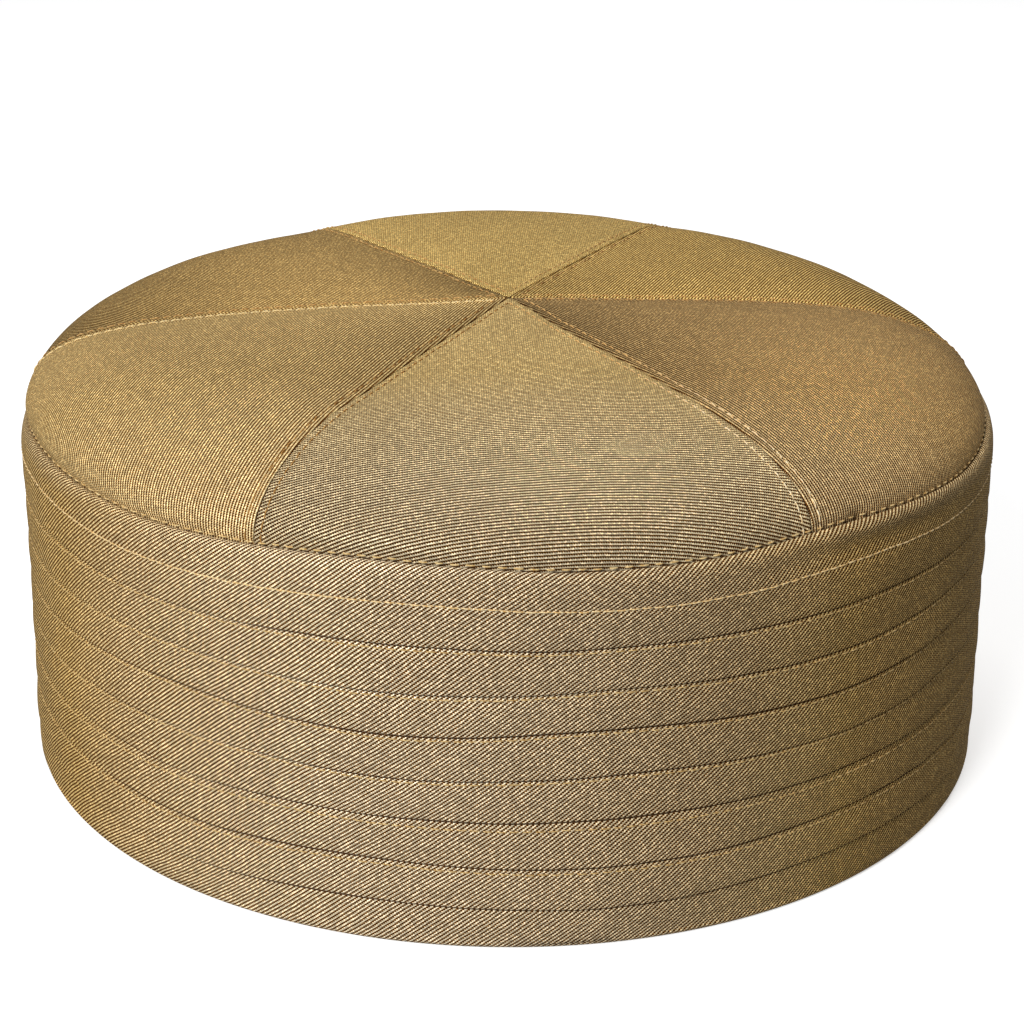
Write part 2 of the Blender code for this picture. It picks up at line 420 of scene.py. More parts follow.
seams = {  # azimuths
    "front left": -117.0,
    "front right": -57.0,
    "right": 3.0,
    "back right": 63.0,
    "back left": 123.0,
    "left": 183.0,
}
halfPanel = 30.0  # from a panel's middle to its seam
seamSways = (  # seam, distance from the middle of the cap, reach along the seam, and shift sideways
    ("front left", 92.0, 10.0, 1.4),
    ("front left", 40.0, 22.0, -0.3),
    ("front right", 25.0, 18.0, -1.1),
    ("front right", 55.0, 18.0, -1.4),
    ("right", 30.0, 18.0, -0.7),
    ("right", 62.0, 14.0, -2.0),
    ("left", 35.0, 12.0, -1.0),
    ("left", 72.0, 12.0, 3.6),
)
swayStart = (5.0, 15.0)  # no shift inside the first distance, all of it outside the second


def swayAt(seam, distance):
    # the shift of one seam at this distance from the middle
    inner, outer = swayStart
    share = min(1.0, max(0.0, (distance - inner) / (outer - inner)))
    rows = [row[1:] for row in seamSways if row[0] == seam]
    return share * sum(shift * math.exp(-((distance - at) / reach) ** 2) for at, reach, shift in rows)


def swayTurn(tree, bearing, radius):
    # the same for the cloth: a turn that fades out towards the middle of the panels
    direction = towards(tree, bearing)
    total = 0.0
    for seam, at, reach, shift in seamSways:
        angle = math.radians(seams[seam])
        off = addNode(tree, vectors, [direction, (math.cos(angle), math.sin(angle), 0.0)], "DOT_PRODUCT")
        off = addNode(tree, maths, [off], "ARCCOSINE")
        near = addNode(tree, ramp, [off, 0.0, math.radians(halfPanel), shift, 0.0])
        along = addNode(tree, maths, [radius, -at], "ADD")
        along = addNode(tree, maths, [along, reach], "DIVIDE")
        squared = addNode(tree, maths, [along, 2.0], "POWER")
        total = addNode(tree, maths, [near, bell(tree, squared), total], "MULTIPLY_ADD")
    share = addNode(tree, ramp, [radius, *swayStart, 0.0, 1.0])
    total = addNode(tree, maths, [total, share], "MULTIPLY")
    return addNode(tree, maths, [total, radius], "DIVIDE")


# Crown panels

crownRule = {
    "Rows": 132,
    "Columns": 120,
    "Column crowding": 80.0,  # the nearer to 90, the closer together the columns are at the seams
    "Flat share": 0.5,  # share of the rows on the flat top, the rest are on the rounded edge
    "Crown top": 83.3,
    "Crown fall": 0.036,  # fall for each millimetre away from the middle
    "Forward lean": 0.032,
    "Side lean": 0.018,
    "Lean fade": 6.0,
    "Puff breadth": 0.6,
    "Puff place": 1.1,
    "Edge start": 59.2,
    "Edge shift": 8.8,
    "Edge softest at": -32.0,
    "Edge swell": 1.8,
    "Swell at": -165.0,
    "Swell narrowness": 12.0,
    "Rim radius": 89.0,
    "Rim scallop": 0.9,
    "Rim height": 65.9,
    "Rim steadiness": 8.0,  # the higher, the closer to the rim the uneven sewing stays
    "Turned in": 0.7,  # the edge goes down behind the band by this
    "Turned in from": 0.985,  # over the last rows
    "Tip radius": 0.3,
    "Seam gap": 0.06,
    "Wall": 2.0,
    "Ridge height": 0.16,  # over the seam allowances, which are pressed open
    "Ridge reach": 3.2,
    "Ridge top": 0.45,  # share of the reach that is at full height
    "Groove width": 0.22,
    "Groove depth": 0.04,
    "Stitch line": 1.6,  # distance of the topstitching from the seam
    "Edge stitch line": 1.0,
    "Stitch dip": 0.12,
    "Dip reach": 0.9,
    "Shaded seam": 0.1,  # width of the painted shade line in a seam
    "Seam shade": 0.65,
    "Shaded rim": 1.0,  # and along the edge, from where the cloth is turned in
    "Rim shade": 0.2,
    "Needle holes": 1.6,  # reach of the painted shade of the needle holes between the edge's stitches
    "Hole strength": 2.0,
    "Faded from": 0.45,  # the cloth is paler towards the front, from here, as a share of the radius
    "Pucker height": 0.16,
    "Pucker length": 6.5,
    "Rim puckers": 12.0,  # how far the puckers reach from the rim, and from a seam
    "Seam puckers": 7.0,
    "Seam puckers from": 1.0,
    "Seam pucker share": 0.7,  # of their height along the rim
    "Dent depth": 0.9,
    "Dent length": 30.0,
}
shineNames = ("Shine sideways", "Shine outwards", "Shine to both sides", "Shine twist", "Shine at the edge")
crownPanel = {  # what differs from panel to panel
    "Panel middle": 0.0,
    "Fullness": 1.0,
    "Warp azimuth": 0.0,
    **dict.fromkeys(shineNames, 0.0),
}
# Fullness of the padding, azimuths of the middle and of the warp yarns, and the cloth's tone: each panel
# was cut with its nap another way; its brightness is painted light or shade for how its nap catches the
# light, and painted satin sheen and shade drift over it in its own way
panels = {
    "crown_panel_front": {
        "fullness": 1.4, "middle": -87.0, "warp": -30.0,
        "brightness": 1.03, "softness": 0.8, "tint": "#ffeaab", "paleTint": "#fff6db",
        "shine": (-0.05, 0.36, 0.02, 0.13, -0.7),
    },
    "crown_panel_front_right": {
        "fullness": 1.4, "middle": -27.0, "warp": -90.0,
        "brightness": 0.6, "softness": 0.9, "tint": "#ffe2a4", "paleTint": "#fff0ca",
        "shine": (0.32, 0.71, -0.26, -0.36, -0.13),
    },
    "crown_panel_back_right": {
        "fullness": 0.7, "middle": 33.0, "warp": -150.0,
        "brightness": 0.78, "softness": 1.15, "tint": "#ffe89c",
        "shine": (-0.11, 1.13, 0.08, 0.14, -1.21),
    },
    "crown_panel_back": {
        "fullness": 2.0, "middle": 93.0, "warp": 150.0,
        "brightness": 1.1, "softness": 1.2, "tint": "#ffeda5",
        "shine": (-0.13, 0.06, 0.1, 0.27, -0.08),
    },
    "crown_panel_back_left": {
        "fullness": 0.4, "middle": 153.0, "warp": 90.0,
        "brightness": 0.59, "softness": 1.15, "tint": "#ffe7a3",
        "shine": (0.47, 2.3, -0.14, -0.64, -2.4),
    },
    "crown_panel_front_left": {
        "fullness": 1.5, "middle": -147.0, "warp": 30.0,
        "brightness": 1.0, "softness": 1.15, "tint": "#ffecb0", "paleTint": "#fff2ca",
        "shine": (-0.35, -0.46, 0.0, 0.42, 0.48),
    },
}


def panelSides(tree, size, share):
    # the place across the panel from -1 to 1, with the columns closer together near the seams
    crowding = addNode(tree, maths, [size["Column crowding"]], "RADIANS")
    turn = addNode(tree, maths, [share, 2.0, -1.0], "MULTIPLY_ADD")
    turn = addNode(tree, maths, [turn, crowding], "MULTIPLY")
    bunched = addNode(tree, maths, [turn], "SINE")
    side = addNode(tree, maths, [bunched, addNode(tree, maths, [crowding], "SINE")], "DIVIDE")
    azimuth = addNode(tree, maths, [side, halfPanel, size["Panel middle"]], "MULTIPLY_ADD")
    # and the angle from the nearer seam, which is nothing at the seam
    offMiddle = addNode(tree, maths, [side], "ABSOLUTE")
    fromSeam = addNode(tree, maths, [
        offMiddle, -math.radians(halfPanel), math.radians(halfPanel),
    ], "MULTIPLY_ADD")
    return side, azimuth, fromSeam


def edgeSoftness(tree, size, azimuth):
    # the radius where the flat top ends: the edge is softer towards one side
    fromSoft = addNode(tree, maths, [azimuth, size["Edge softest at"]], "SUBTRACT")
    softTurn = addNode(tree, maths, [fromSoft], "RADIANS")
    softness = addNode(tree, maths, [softTurn], "COSINE")
    shift = addNode(tree, maths, [softness, size["Edge shift"]], "MULTIPLY")
    return addNode(tree, maths, [size["Edge start"], shift], "SUBTRACT")


def crownHeight(tree, size, east, north, across, radius, rim, edgeDown):
    # a gentle cone that leans forwards, less the rounded edge, and the panel's own puff
    reach = addNode(tree, maths, [radius, rim], "DIVIDE")
    drop = addNode(tree, maths, [radius, size["Crown fall"]], "MULTIPLY")
    cone = addNode(tree, maths, [size["Crown top"], drop], "SUBTRACT")
    eastLean = addNode(tree, maths, [east, size["Side lean"]], "MULTIPLY")
    lean = addNode(tree, maths, [north, size["Forward lean"], eastLean], "MULTIPLY_ADD")
    lost = addNode(tree, maths, [reach, size["Lean fade"]], "POWER")
    kept = addNode(tree, maths, [1.0, lost], "SUBTRACT")
    lean = addNode(tree, maths, [lean, kept], "MULTIPLY")
    height = addNode(tree, maths, [lean, radius, cone], "MULTIPLY_ADD")

    rimDrop = addNode(tree, maths, [rim, size["Crown fall"]], "MULTIPLY")
    rimCone = addNode(tree, maths, [size["Crown top"], rimDrop], "SUBTRACT")
    edgeHeight = addNode(tree, maths, [rimCone, size["Rim height"]], "SUBTRACT")
    fallShare = addNode(tree, maths, [1.0, edgeDown], "SUBTRACT")
    edgeFall = addNode(tree, maths, [edgeHeight, fallShare], "MULTIPLY")
    height = addNode(tree, maths, [height, edgeFall], "SUBTRACT")

    puffAcross = addNode(tree, maths, [across, size["Puff breadth"]], "POWER")
    puffReach = addNode(tree, maths, [reach, size["Puff place"]], "POWER")
    puffTurn = addNode(tree, maths, [puffReach, math.pi], "MULTIPLY")
    puffAlong = addNode(tree, maths, [puffTurn], "SINE")
    puff = addNode(tree, maths, [puffAcross, puffAlong], "MULTIPLY")
    return addNode(tree, maths, [puff, size["Fullness"], height], "MULTIPLY_ADD")


def edgeSwell(tree, size, azimuth, edgeShare):
    # the edge stands out above the band at the left
    fromSwell = addNode(tree, maths, [azimuth, size["Swell at"]], "SUBTRACT")
    swellTurn = addNode(tree, maths, [fromSwell], "RADIANS")
    nearness = addNode(tree, maths, [swellTurn], "COSINE")
    nearness = addNode(tree, ramp, [nearness, -1.0, 1.0, 0.0, 1.0])
    nearness = addNode(tree, maths, [nearness, size["Swell narrowness"]], "POWER")
    rise = addNode(tree, maths, [edgeShare, 2.0], "POWER")
    rise = addNode(tree, maths, [rise, math.pi], "MULTIPLY")
    rise = addNode(tree, maths, [rise], "SINE")
    swell = addNode(tree, maths, [nearness, rise], "MULTIPLY")
    return addNode(tree, maths, [swell, size["Edge swell"]], "MULTIPLY")


def flatCut(tree, size, position, bearing):
    # length along the cloth from the tip, and so each point's place on the flat cut panel
    index = addNode(tree, "GeometryNodeInputIndex")
    column = addNode(tree, maths, [index, size["Columns"]], "MODULO")
    previous = addNode(tree, maths, [index, size["Columns"]], "SUBTRACT")
    previous = addNode(tree, maths, [previous, column], "MAXIMUM")
    behind = addNode(tree, "GeometryNodeFieldAtIndex", {
        "Value": position, "Index": previous,
    }, data_type="FLOAT_VECTOR")
    step = addNode(tree, vectors, [position, behind], "DISTANCE")
    length = addNode(tree, "GeometryNodeAccumulateField", {"Value": step, "Group ID": column}).outputs
    toTip = addNode(tree, maths, [length["Leading"], 1 / mm, size["Tip radius"]], "MULTIPLY_ADD")
    toRim = addNode(tree, maths, [length["Total"], length["Leading"]], "SUBTRACT")
    toRim = addNode(tree, maths, [toRim, 1 / mm], "MULTIPLY")
    warpTurn = addNode(tree, maths, [size["Warp azimuth"]], "RADIANS")
    cutTurn = addNode(tree, maths, [bearing, warpTurn], "SUBTRACT")
    cut = addNode(tree, vectors, {"Vector": towards(tree, cutTurn), "Scale": toTip}, "SCALE")
    return cut, toRim


def unevenness(tree, position, length, height, detail):
    # a soft rise and fall of about this length and height
    scale = addNode(tree, maths, [1 / mm, length], "DIVIDE")
    noise = addNode(tree, "ShaderNodeTexNoise", {"Vector": position, "Scale": scale, "Detail": detail})
    centred = addNode(tree, maths, [noise, 0.5], "SUBTRACT")
    return addNode(tree, maths, [centred, height], "MULTIPLY")


def crownRelief(tree, size, position, seamDistance, toRim):
    # seams, topstitching, puckers and soft dents
    ridgeTop = addNode(tree, maths, [size["Ridge reach"], size["Ridge top"]], "MULTIPLY")
    ridge = addNode(tree, ramp, [
        seamDistance, ridgeTop, size["Ridge reach"], size["Ridge height"], 0.0,
    ], interpolation_type="SMOOTHSTEP")
    depth = addNode(tree, maths, [size["Ridge height"], size["Groove depth"]], "ADD")
    groove = addNode(tree, ramp, [
        seamDistance, 0.0, size["Groove width"], depth, 0.0,
    ], interpolation_type="SMOOTHSTEP")
    relief = addNode(tree, maths, [ridge, groove], "SUBTRACT")
    for distance, line in ((seamDistance, "Stitch line"), (toRim, "Edge stitch line")):
        off = addNode(tree, maths, [distance, size[line]], "SUBTRACT")
        off = addNode(tree, maths, [off], "ABSOLUTE")
        dip = addNode(tree, ramp, [
            off, 0.0, size["Dip reach"], size["Stitch dip"], 0.0,
        ], interpolation_type="SMOOTHSTEP")
        relief = addNode(tree, maths, [relief, dip], "SUBTRACT")

    rimFade = addNode(tree, ramp, [
        toRim, 0.0, size["Rim puckers"], 1.0, 0.0,
    ], interpolation_type="SMOOTHSTEP")
    seamFade = addNode(tree, ramp, [
        seamDistance, size["Seam puckers from"], size["Seam puckers"], size["Seam pucker share"], 0.0,
    ], interpolation_type="SMOOTHSTEP")
    near = addNode(tree, maths, [rimFade, seamFade], "MAXIMUM")
    pucker = unevenness(tree, position, size["Pucker length"], size["Pucker height"], 1.0)
    relief = addNode(tree, maths, [pucker, near, relief], "MULTIPLY_ADD")
    dent = unevenness(tree, position, size["Dent length"], size["Dent depth"], 2.0)
    inland = addNode(tree, maths, [1.0, rimFade], "SUBTRACT")
    relief = addNode(tree, maths, [dent, inland, relief], "MULTIPLY_ADD")
    inMillimetres = addNode(tree, vectors, {"Vector": position, "Scale": 1 / mm}, "SCALE")
    relief = addNode(tree, maths, [relief, pressedDepth(tree, inMillimetres)], "SUBTRACT")
    return addNode(tree, maths, [relief, mm], "MULTIPLY")


def crownTones(tree, size, side, reach, north):
    # painted satin sheen and shade that drift over the panel, and how much paler the cloth is towards the
    # front
    drifts = (
        side, reach, addNode(tree, maths, [side, side], "MULTIPLY"),
        addNode(tree, maths, [side, reach], "MULTIPLY"), addNode(tree, maths, [reach, reach], "MULTIPLY"),
    )
    shine = 0.0
    for drift, name in zip(drifts, shineNames):
        shine = addNode(tree, maths, [drift, size[name], shine], "MULTIPLY_ADD")
    forward = addNode(tree, maths, [north, reach], "MULTIPLY")
    forward = addNode(tree, maths, [forward, -1.0], "MULTIPLY")
    return shine, addNode(tree, ramp, [forward, size["Faded from"], 1.0, 0.0, 1.0])


def paddedWall(tree, size, stored, position):
    # a plain inner face, closed sides, and the outer face with its relief
    relief = addNode(tree, "GeometryNodeInputNamedAttribute", ["outerRelief"], data_type="FLOAT")
    normal = addNode(tree, "GeometryNodeInputNamedAttribute", ["outerNormal"], data_type="FLOAT_VECTOR")
    outside = addNode(tree, "GeometryNodeInputNamedAttribute", ["outerPlace"], data_type="FLOAT_VECTOR")
    # the inner face moves in along the normal, but not sideways, so that the seams close inside too
    sideways = addNode(tree, vectors, [position, (0.0, 0.0, 1.0)], "CROSS_PRODUCT")
    sideways = addNode(tree, vectors, [sideways], "NORMALIZE")
    leaning = addNode(tree, vectors, [normal, sideways], "DOT_PRODUCT")
    leaning = addNode(tree, vectors, {"Vector": sideways, "Scale": leaning}, "SCALE")
    straight = addNode(tree, vectors, [normal, leaning], "SUBTRACT")
    wall = addNode(tree, maths, [size["Wall"], -mm], "MULTIPLY")
    inward = addNode(tree, vectors, {"Vector": straight, "Scale": wall}, "SCALE")
    inner = addNode(tree, "GeometryNodeSetPosition", {"Geometry": stored, "Offset": inward})
    walled = addNode(tree, "GeometryNodeExtrudeMesh", {
        "Mesh": inner, "Offset Scale": 0.0, "Individual": False,
    }, mode="FACES")
    raised = addNode(tree, vectors, {"Vector": normal, "Scale": relief}, "SCALE")
    raised = addNode(tree, vectors, [raised, outside], "ADD")
    dressed = addNode(tree, "GeometryNodeSetPosition", {
        "Geometry": walled, "Selection": walled.outputs["Top"], "Position": raised,
    })
    back = addNode(tree, "GeometryNodeFlipFaces", [inner])
    both = addNode(tree, "GeometryNodeJoinGeometry", [back])
    tree.links.new(dressed.outputs[0], both.inputs[0])
    closed = addNode(tree, "GeometryNodeMergeByDistance", {"Geometry": both, "Distance": 0.001 * mm})
    for name in ("outerRelief", "outerNormal", "outerPlace"):
        closed = addNode(tree, "GeometryNodeRemoveAttribute", {"Geometry": closed, "Name": name})
    return closed


def crownTree(waverGroup):
    tree, size = newTree("crownPanelShape", {**crownRule, **crownPanel, "Cloth": bpy.types.Material})
    cloth = addNode(tree, "GeometryNodeMeshGrid", {
        "Size X": 1.0, "Size Y": 1.0, "Vertices X": size["Rows"], "Vertices Y": size["Columns"],
    })
    share = addNode(tree, "ShaderNodeSeparateXYZ", [cloth.outputs["UV Map"]])
    along = share.outputs["X"]
    side, azimuth, fromSeam = panelSides(tree, size, share.outputs["Y"])
    across = addNode(tree, maths, [fromSeam, 90 / halfPanel], "MULTIPLY")
    across = addNode(tree, maths, [across], "SINE")

    # radius: an even run over the top, then a quarter turn over the edge
    rim = addNode(tree, maths, [across, size["Rim scallop"], size["Rim radius"]], "MULTIPLY_ADD")
    start = edgeSoftness(tree, size, azimuth)
    flatRadius = addNode(tree, ramp, [along, 0.0, size["Flat share"], size["Tip radius"], start])
    edgeShare = addNode(tree, ramp, [along, size["Flat share"], 1.0, 0.0, 1.0])
    edgeTurn = addNode(tree, maths, [edgeShare, math.radians(90)], "MULTIPLY")
    edgeOut = addNode(tree, maths, [edgeTurn], "SINE")
    edgeDown = addNode(tree, maths, [edgeTurn], "COSINE")
    edgeWidth = addNode(tree, maths, [rim, start], "SUBTRACT")
    radius = addNode(tree, maths, [edgeOut, edgeWidth, flatRadius], "MULTIPLY_ADD")
    reach = addNode(tree, maths, [radius, rim], "DIVIDE")
    swell = edgeSwell(tree, size, azimuth, edgeShare)
    outRadius = addNode(tree, maths, [swell, radius], "ADD")

    bearing = addNode(tree, maths, [azimuth], "RADIANS")
    east = addNode(tree, maths, [bearing], "COSINE")
    north = addNode(tree, maths, [bearing], "SINE")
    height = crownHeight(tree, size, east, north, across, radius, rim, edgeDown)
    turnedIn = addNode(tree, ramp, [along, size["Turned in from"], 1.0, 0.0, size["Turned in"]])
    height = addNode(tree, maths, [height, turnedIn], "SUBTRACT")

    # each side is trimmed by half the seam gap and follows its seam
    halfGap = addNode(tree, maths, [size["Seam gap"], 0.5], "MULTIPLY")
    trimTurn = addNode(tree, maths, [halfGap, outRadius], "DIVIDE")
    trim = addNode(tree, maths, [side, trimTurn], "MULTIPLY")
    bearing = addNode(tree, maths, [bearing, trim], "SUBTRACT")
    bearing = addNode(tree, maths, [bearing, swayTurn(tree, bearing, outRadius)], "ADD")
    flatPlace = addNode(tree, vectors, {"Vector": towards(tree, bearing), "Scale": outRadius}, "SCALE")
    rimPlace = addNode(tree, vectors, [
        flatPlace, (mm, mm, 0.0), (0.0, 0.0, waver["from"] * mm),
    ], "MULTIPLY_ADD")
    lift = addNode(tree, "GeometryNodeGroup", [rimPlace], node_tree=waverGroup)
    rimOnly = addNode(tree, maths, [reach, size["Rim steadiness"]], "POWER")
    height = addNode(tree, maths, [lift, rimOnly, height], "MULTIPLY_ADD")
    place = addNode(tree, vectors, [flatPlace, upwards(tree, height)], "ADD")
    place = addNode(tree, vectors, {"Vector": place, "Scale": mm}, "SCALE")
    outer = addNode(tree, "GeometryNodeSetPosition", {"Geometry": cloth, "Position": place})

    position = addNode(tree, "GeometryNodeInputPosition")
    cut, toRim = flatCut(tree, size, position, bearing)
    seamDistance = addNode(tree, maths, [addNode(tree, maths, [fromSeam], "SINE"), radius], "MULTIPLY")
    # painted shade: a dark line in each seam's groove and along the turned-in rim, and the needle holes'
    # painted shade
    crease = addNode(tree, ramp, [seamDistance, 0.0, size["Shaded seam"], size["Seam shade"], 0.0])
    rimPaintedShade = addNode(tree, ramp, [toRim, size["Turned in"], size["Shaded rim"], size["Rim shade"], 0.0])
    crease = addNode(tree, maths, [crease, rimPaintedShade], "MAXIMUM")
    holes = addNode(tree, ramp, [
        toRim, size["Turned in"], size["Needle holes"], size["Hole strength"], 0.0,
    ])
    shine, faded = crownTones(tree, size, side, reach, north)
    stored = storeValues(tree, outer, (
        ("clothMillimetres", cut, "CORNER", "FLOAT2"),
        ("crease", crease, "POINT", "FLOAT"),
        ("needleHoles", holes, "POINT", "FLOAT"),
        ("shine", shine, "POINT", "FLOAT"),
        ("faded", faded, "POINT", "FLOAT"),
        ("outerRelief", crownRelief(tree, size, position, seamDistance, toRim), "POINT", "FLOAT"),
        ("outerNormal", addNode(tree, "GeometryNodeInputNormal"), "POINT", "FLOAT_VECTOR"),
        ("outerPlace", position, "POINT", "FLOAT_VECTOR"),
    ))
    finishTree(tree, paddedWall(tree, size, stored, position), size["Cloth"])
    return tree


def makeCrown(waverGroup, cloth):
    tree = crownTree(waverGroup)
    for node, look in panels.items():
        words = node.split("_")[2:]
        # one twill in six copies, each painted lighter or darker, with its own painted sheen, for how its
        # panel catches the light
        material = goldTwill("goldTwill" + "".join(word.capitalize() for word in words), look)
        panel = newThing("quilted_" + node, collection=cloth)
        mesh = makePlain(panel, tree, {
            **crownRule,
            "Panel middle": look["middle"],
            "Fullness": look["fullness"],
            "Warp azimuth": look["warp"],
            **dict(zip(shineNames, look["shine"])),
            "Cloth": material,
        })
        mesh.shade_smooth()
        mesh.set_sharp_from_angle(angle=math.radians(60))
        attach(panel, "root")
        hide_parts(node)
    print("crown: six quilted panels")


# Side band

bandRule = {
    "Segments": 576,
    "Girth repeats": 624,  # whole twill repeats round the cap
    "Looseness": 0.22,  # how far the strips and lips stand off unevenly
    "Looseness length": 24.0,
    "Rim scallop": 0.9,
    "Scallop from": 59.8,
    "Scallop to": 65.9,
    "Faded at": -99.0,  # azimuth where the cloth is palest
    "Faded reach": 47.0,  # degrees to each side
    "Faded lip": 0.45,  # the rolled lip is painted paler all round: painted sheen
    "Lip from": 62.5,
    "Shine swing": 0.1,  # painted satin sheen and shade, coming and going round the cap
    "Shine waves": 3.0,
    "Shine at": -114.0,
}
band = {  # places are radius and height
    "tone": {"brightness": 0.93, "tint": "#ffe6a2", "paleTint": "#fff9e4"},
    "rim": (89.15, 65.9),  # the band's top edge, in the crown's seam
    "shoulder": (90.9, 66.4),  # towards here the rolled shoulder bends
    "firstRow": (91.6, 59.8),  # the first row of stitches
    "rowDent": 0.2,
    "rowDentReach": 0.9,
    "shoulderSteps": 18,
    "firstStrip": (  # and looseness
        (91.5, 59.0, 0.6),
        (91.6, 57.5, 1.0),
        (91.65, 55.8, 1.0),
        (91.6, 54.3, 1.0),
    ),
    "ledge": (86.7, 65.0),
    "lipRounding": 0.32,
    "grooveDepth": 0.65,
    "foldShade": 0.93,
    "grooveSlack": 0.3,  # looseness in the groove, and where the strip below it begins
    "stripSlack": 0.4,
    "lineStart": (0.04, -0.1),  # the painted shadow line from the groove's bottom, and to the strip's top
    "lineEnd": (-0.06, -0.4),
    "lineFade": 0.15,
    "stripFrom": 0.9,  # the strip's ends: below its own fold, and in roundings above the next
    "stripTo": 2.2,
    "belly": 0.14,  # how far a strip bulges between two folds
    "stripSteps": 6,
    "lastStripEnd": 0.4,
    "hem": (92.3, 1.0),  # outer radius and rounding
    "inside": 89.4,
    "insideRounding": 0.4,
    "flareHeight": 57.0,
    "looseStretch": 1.8,  # the looseness changes this much faster upwards than round the cap
    "girthRadius": 92.0,  # for patterns that are counted round the cap
    "flatCut": (0.090, 0.58),  # metres, with the cloth that the tucks and the hem take
}
tucks = (  # height and radius of a fold's lower edge, how far it stands out, how broad its painted shadow line is
    (53.0, 91.6, 0.22, 0.4),
    (45.4, 91.6, 0.22, 0.35),
    (38.4, 91.8, 0.33, 0.75),
    (30.5, 91.9, 0.22, 0.4),
    (23.1, 92.1, 0.31, 0.65),
    (15.0, 92.3, 0.36, 0.8),
    (7.4, 92.5, 0.38, 0.75),
)


def shoulderProfile():
    # out of the crown seam, over the rolled shoulder and down to the first stitch row
    rim, bend, row = band["rim"], band["shoulder"], band["firstRow"]
    # each row's last value is painted shade, darkest in the crown seam and fading down the shoulder
    points = [(rim[0], band["ledge"][1], 0.0, 0.5), (rim[0] + 0.02, rim[1] - 0.35, 0.0, 0.4)]
    for step in range(band["shoulderSteps"] + 1):
        s = step / band["shoulderSteps"]
        weights = ((1 - s) ** 2, 2 * s * (1 - s), s ** 2)
        radius, height = (sum(w * p[axis] for w, p in zip(weights, (rim, bend, row))) for axis in (0, 1))
        dent = band["rowDent"] * max(0.0, 1 - (height - row[1]) / band["rowDentReach"])
        slack = min(1.0, 3 * s * (1 - s))
        points.append((radius - dent, height, slack, max(0.0, 0.15 - 10 * s)))
    return points


def tuckProfile(height, radius, lap, line, nextHeight, nextRadius):
    # the rounded lip of a fold, the groove behind it and the strip of cloth below, with painted shade in
    # the groove and under the lip
    rounding, shade = band["lipRounding"], band["foldShade"]
    points = []
    for turn in range(0, 151, 30):
        angle = math.radians(turn)
        points.append((
            radius - rounding + rounding * math.cos(angle),
            height + rounding - rounding * math.sin(angle),
            1.0,
            shade * max(0.0, min(1.0, turn / 30 - 1)),
        ))
    bottom, top = radius - band["grooveDepth"], radius - lap
    deep, loose = band["grooveSlack"], band["stripSlack"]
    points.append((bottom, height + 0.5 * rounding, deep, shade))
    # out of the groove, in painted shade at first over the breadth of the painted shadow line
    start = (bottom + band["lineStart"][0], height + band["lineStart"][1])
    end = (top + band["lineEnd"][0], height + band["lineEnd"][1])
    for share, dark in ((0.0, 1.0), (line, 1.0), (line + band["lineFade"], 0.1), (1.0, 0.0)):
        place = [one + (other - one) * share for one, other in zip(start, end)]
        points.append((*place, deep + (loose - deep) * share, shade * dark))
    startHeight, endHeight = height - band["stripFrom"], nextHeight + band["stripTo"] * rounding
    for step in range(band["stripSteps"] + 1):
        s = step / band["stripSteps"]
        bulge = 4 * band["belly"] * s * (1 - s)
        points.append((
            top + (nextRadius - top) * s + bulge,
            startHeight + (endHeight - startHeight) * s,
            loose + (1 - loose) * s,
            0.0,
        ))
    return points


def hemProfile():
    # round the hem, up the inside and back to the crown seam
    radius, rounding = band["hem"]
    inside, insideRounding = band["inside"], band["insideRounding"]
    places = []
    for turn in range(0, 91, 15):
        angle = math.radians(turn)
        out, up = rounding * math.cos(angle), rounding * math.sin(angle)
        places.append((radius - rounding + out, rounding - up))
    flat = places[-1][0]
    places += [(flat - (flat - inside - insideRounding) * share, 0.0) for share in (0.5, 1.0)]
    places.append((inside, insideRounding))
    places += [(inside, band["flareHeight"] * share) for share in (0.25, 0.5, 0.75, 1.0)]
    places.append(band["ledge"])
    return [(*place, 0.0, 0.0) for place in places]


def bandProfile():
    # rows of radius, height, how loose the cloth is there, and how deep in a fold's shade
    points = shoulderProfile()
    points += [(*row, 0.0) for row in band["firstStrip"]]
    below = [tuck[:2] for tuck in tucks[1:]] + [(band["lastStripEnd"], band["hem"][0])]
    for tuck, (nextHeight, nextRadius) in zip(tucks, below):
        points += tuckProfile(*tuck, nextHeight, nextRadius)
    points += hemProfile()
    return points + points[:1]


def inMetres(tree, length):
    return addNode(tree, maths, [length, mm], "MULTIPLY")


def bandPush(tree, size, azimuth, spread, height, slack):
    # how far the cloth stands out from its section, in millimetres
    # the crown's panels push the top of the band out between their seams
    fromSeam = addNode(tree, maths, [azimuth, -math.radians(seams["front left"])], "ADD")
    lobe = addNode(tree, maths, [fromSeam, 90 / halfPanel], "MULTIPLY")
    lobe = addNode(tree, maths, [lobe], "SINE")
    lobe = addNode(tree, maths, [lobe], "ABSOLUTE")
    low, high = inMetres(tree, size["Scallop from"]), inMetres(tree, size["Scallop to"])
    climb = addNode(tree, ramp, [height, low, high, 0.0, 1.0])
    push = addNode(tree, maths, [size["Rim scallop"], climb], "MULTIPLY")
    push = addNode(tree, maths, [push, lobe], "MULTIPLY")
    # strips and lips stand off unevenly
    tall = addNode(tree, maths, [height, band["looseStretch"] / mm], "MULTIPLY")
    spot = addNode(tree, vectors, [spread, upwards(tree, tall)], "ADD")
    scale = addNode(tree, maths, [1.0, size["Looseness length"]], "DIVIDE")
    loose = addNode(tree, "ShaderNodeTexNoise", {"Vector": spot, "Scale": scale, "Detail": 2.0})
    loose = addNode(tree, ramp, [loose, *noiseSpan, -1.0, 1.0])
    loose = addNode(tree, maths, [loose, size["Looseness"]], "MULTIPLY")
    push = addNode(tree, maths, [loose, slack, push], "MULTIPLY_ADD")
    tall = addNode(tree, maths, [height, 1 / mm], "MULTIPLY")
    outside = addNode(tree, vectors, [spread, upwards(tree, tall)], "ADD")
    return addNode(tree, maths, [push, pressedDepth(tree, outside)], "SUBTRACT")


